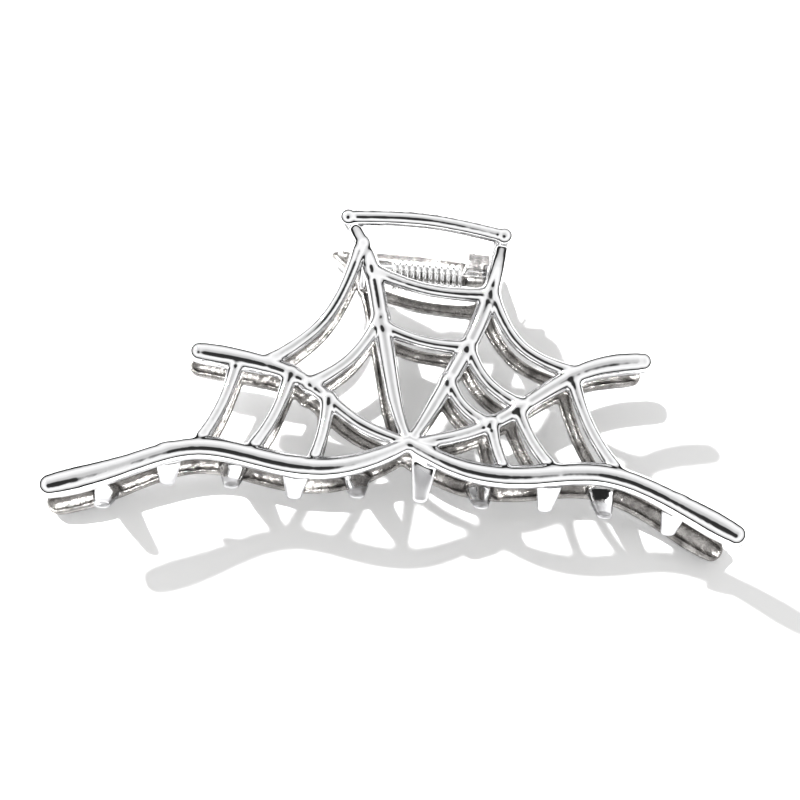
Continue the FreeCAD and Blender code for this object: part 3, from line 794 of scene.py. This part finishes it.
def make_spring():
    """The torsion spring as one wire."""
    line = spring_path()
    tangent = np.gradient(line, axis=0)
    tangent /= np.linalg.norm(tangent, axis=1, keepdims=True)
    side = np.cross(tangent[0], (0, 0, 1.0))
    side /= np.linalg.norm(side)
    points = []
    for k, place in enumerate(line):
        side = side - tangent[k] * (side @ tangent[k])
        side /= np.linalg.norm(side)
        up = np.cross(tangent[k], side)
        for i in range(WIRE_SEGMENTS):
            angle = 2 * math.pi * i / WIRE_SEGMENTS
            points.append(place + WIRE_RADIUS * (math.cos(angle) * side + math.sin(angle) * up))
    piece = upright_mesh("spring_wire_coil", points, tube_faces(len(line), WIRE_SEGMENTS))
    outward_faces(piece)
    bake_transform(piece)
    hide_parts("torsion_spring")
    return piece


web, channels = web_field()
plating = casting_plating()
front_ears = (LEFT_EAR_X, RIGHT_EAR_X)
back_ears = (LEFT_EAR_X + EAR_STEP, RIGHT_EAR_X + EAR_STEP)
front = make_jaw("front", web, channels, 0.0, front_ears, tab=True, flip=False)
back = make_jaw("back", web, channels, -TOOTH_PITCH / 2, back_ears, tab=False, flip=True)
paint(front, plating)
paint(back, plating)
paint(make_pin(), turned_steel())
paint(make_spring(), drawn_wire())

# --- table, light and camera --------------------------------------------------------------------

scene = bpy.context.scene


def height_stop(degrees):
    """Place on the sky's ramp of a height above the horizon."""
    return (math.sin(math.radians(degrees)) + 1) / 2


TABLE_HALF = 4.0
KEY_TRAVEL, KEY_ANGLE, KEY_POWER = (0.61, -0.38, -0.69), 3.0, 10.0
# The dark opening is fixed in the surroundings, round the main camera's direction.
OPENING = (-0.062, -0.287, 0.956)
OPENING_SIZE, OPENING_EDGE, OPENING_SHADE = 19, 4, 0.05
TABLE_FILL = 0.8        # light on matt surfaces, as a part of what the metal reflects
SKY = (
    (0.0, 0.9),
    (height_stop(-1), 0.9),
    (height_stop(0), 0.03),
    (height_stop(14), 0.03),
    (height_stop(19), 0.9),
    (height_stop(38), 1.55),
    (height_stop(62), 1.25),
    (height_stop(76), 0.86),
)


def make_table():
    """A plain white table top."""
    mesh = bpy.data.meshes.new("table_top")
    half = TABLE_HALF
    mesh.from_pydata([(-half, -half, 0), (half, -half, 0), (half, half, 0), (-half, half, 0)], [],
                     [(0, 1, 2, 3)])
    table = bpy.data.objects.new("table_top", mesh)
    scene.collection.objects.link(table)
    material, _, shader = new_material("white_table")
    shader.inputs["Base Color"].default_value = (0.94, 0.94, 0.935, 1)
    shader.inputs["Roughness"].default_value = 0.6
    shader.inputs["Specular IOR Level"].default_value = 0.1
    paint(table, material)


def make_light(name, travel, angle, power):
    """A far light: travel is the direction in which it shines, angle its size in the sky."""
    light = bpy.data.lights.new(name, "SUN")
    light.energy = power
    light.angle = math.radians(angle)
    lamp = bpy.data.objects.new(name, light)
    lamp.rotation_euler = Vector(travel).to_track_quat("-Z", "Y").to_euler()
    scene.collection.objects.link(lamp)


def make_world():
    """A white tent: a dark line where its wall meets the table, and a dark opening for a camera."""
    world = bpy.data.worlds.new("studio")
    world.use_nodes = True
    tree = world.node_tree
    place = tree.nodes.new("ShaderNodeTexCoord")
    split = tree.nodes.new("ShaderNodeSeparateXYZ")
    tree.links.new(place.outputs["Generated"], split.inputs["Vector"])
    ramp = tree.nodes.new("ShaderNodeValToRGB")
    elements = ramp.color_ramp.elements
    while len(elements) < len(SKY):
        elements.new(0.5)
    for element, (at, shade) in zip(elements, SKY):
        element.position = at
        element.color = (shade, shade, shade, 1)
    half = tree.nodes.new("ShaderNodeMapRange")
    half.inputs["From Min"].default_value = -1.0
    tree.links.new(split.outputs["Z"], half.inputs["Value"])
    tree.links.new(half.outputs["Result"], ramp.inputs["Fac"])
    towards = tree.nodes.new("ShaderNodeVectorMath")
    towards.operation = "DOT_PRODUCT"
    towards.inputs[1].default_value = OPENING
    tree.links.new(place.outputs["Generated"], towards.inputs[0])
    rim = tree.nodes.new("ShaderNodeMapRange")
    rim.inputs["From Min"].default_value = math.cos(math.radians(OPENING_SIZE + OPENING_EDGE))
    rim.inputs["From Max"].default_value = math.cos(math.radians(OPENING_SIZE - OPENING_EDGE))
    rim.inputs["To Min"].default_value = 1.0
    rim.inputs["To Max"].default_value = OPENING_SHADE
    tree.links.new(towards.outputs["Value"], rim.inputs["Value"])
    dim = tree.nodes.new("ShaderNodeMix")
    dim.data_type = "RGBA"
    dim.blend_type = "MULTIPLY"
    dim.inputs[0].default_value = 1.0
    tree.links.new(ramp.outputs["Color"], dim.inputs[6])
    tree.links.new(rim.outputs["Result"], dim.inputs[7])
    background = next(node for node in tree.nodes if node.type == "BACKGROUND")
    tree.links.new(dim.outputs[2], background.inputs["Color"])
    kind = tree.nodes.new("ShaderNodeLightPath")
    strength = tree.nodes.new("ShaderNodeMapRange")
    strength.inputs["To Min"].default_value = 1.0
    strength.inputs["To Max"].default_value = TABLE_FILL
    tree.links.new(kind.outputs["Is Diffuse Ray"], strength.inputs["Value"])
    tree.links.new(strength.outputs["Result"], background.inputs["Strength"])
    scene.world = world


make_table()
make_world()
make_light("key", KEY_TRAVEL, KEY_ANGLE, KEY_POWER)

camera_data = bpy.data.cameras.new("camera")
camera_data.lens = 90.0
camera_data.sensor_width = 36.0
camera_data.clip_start = 0.01
camera = bpy.data.objects.new("camera", camera_data)
scene.collection.objects.link(camera)
RIGHT = Vector((0.99461, -0.07805, 0.06820))
DOWN = Vector((0.08295, 0.20489, -0.97526))
AHEAD = Vector((0.06215, 0.97567, 0.21026))
STAND = Vector((-23.259, -340.605, -64.464))
turn = UPRIGHT_TO_ROW.to_3x3() * (1 / MM)
axes = Matrix((turn @ RIGHT, turn @ -DOWN, turn @ -AHEAD)).transposed()
camera.matrix_world = Matrix.Translation(UPRIGHT_TO_ROW @ STAND) @ axes.to_4x4()
scene.camera = camera
scene.view_settings.view_transform = "Standard"
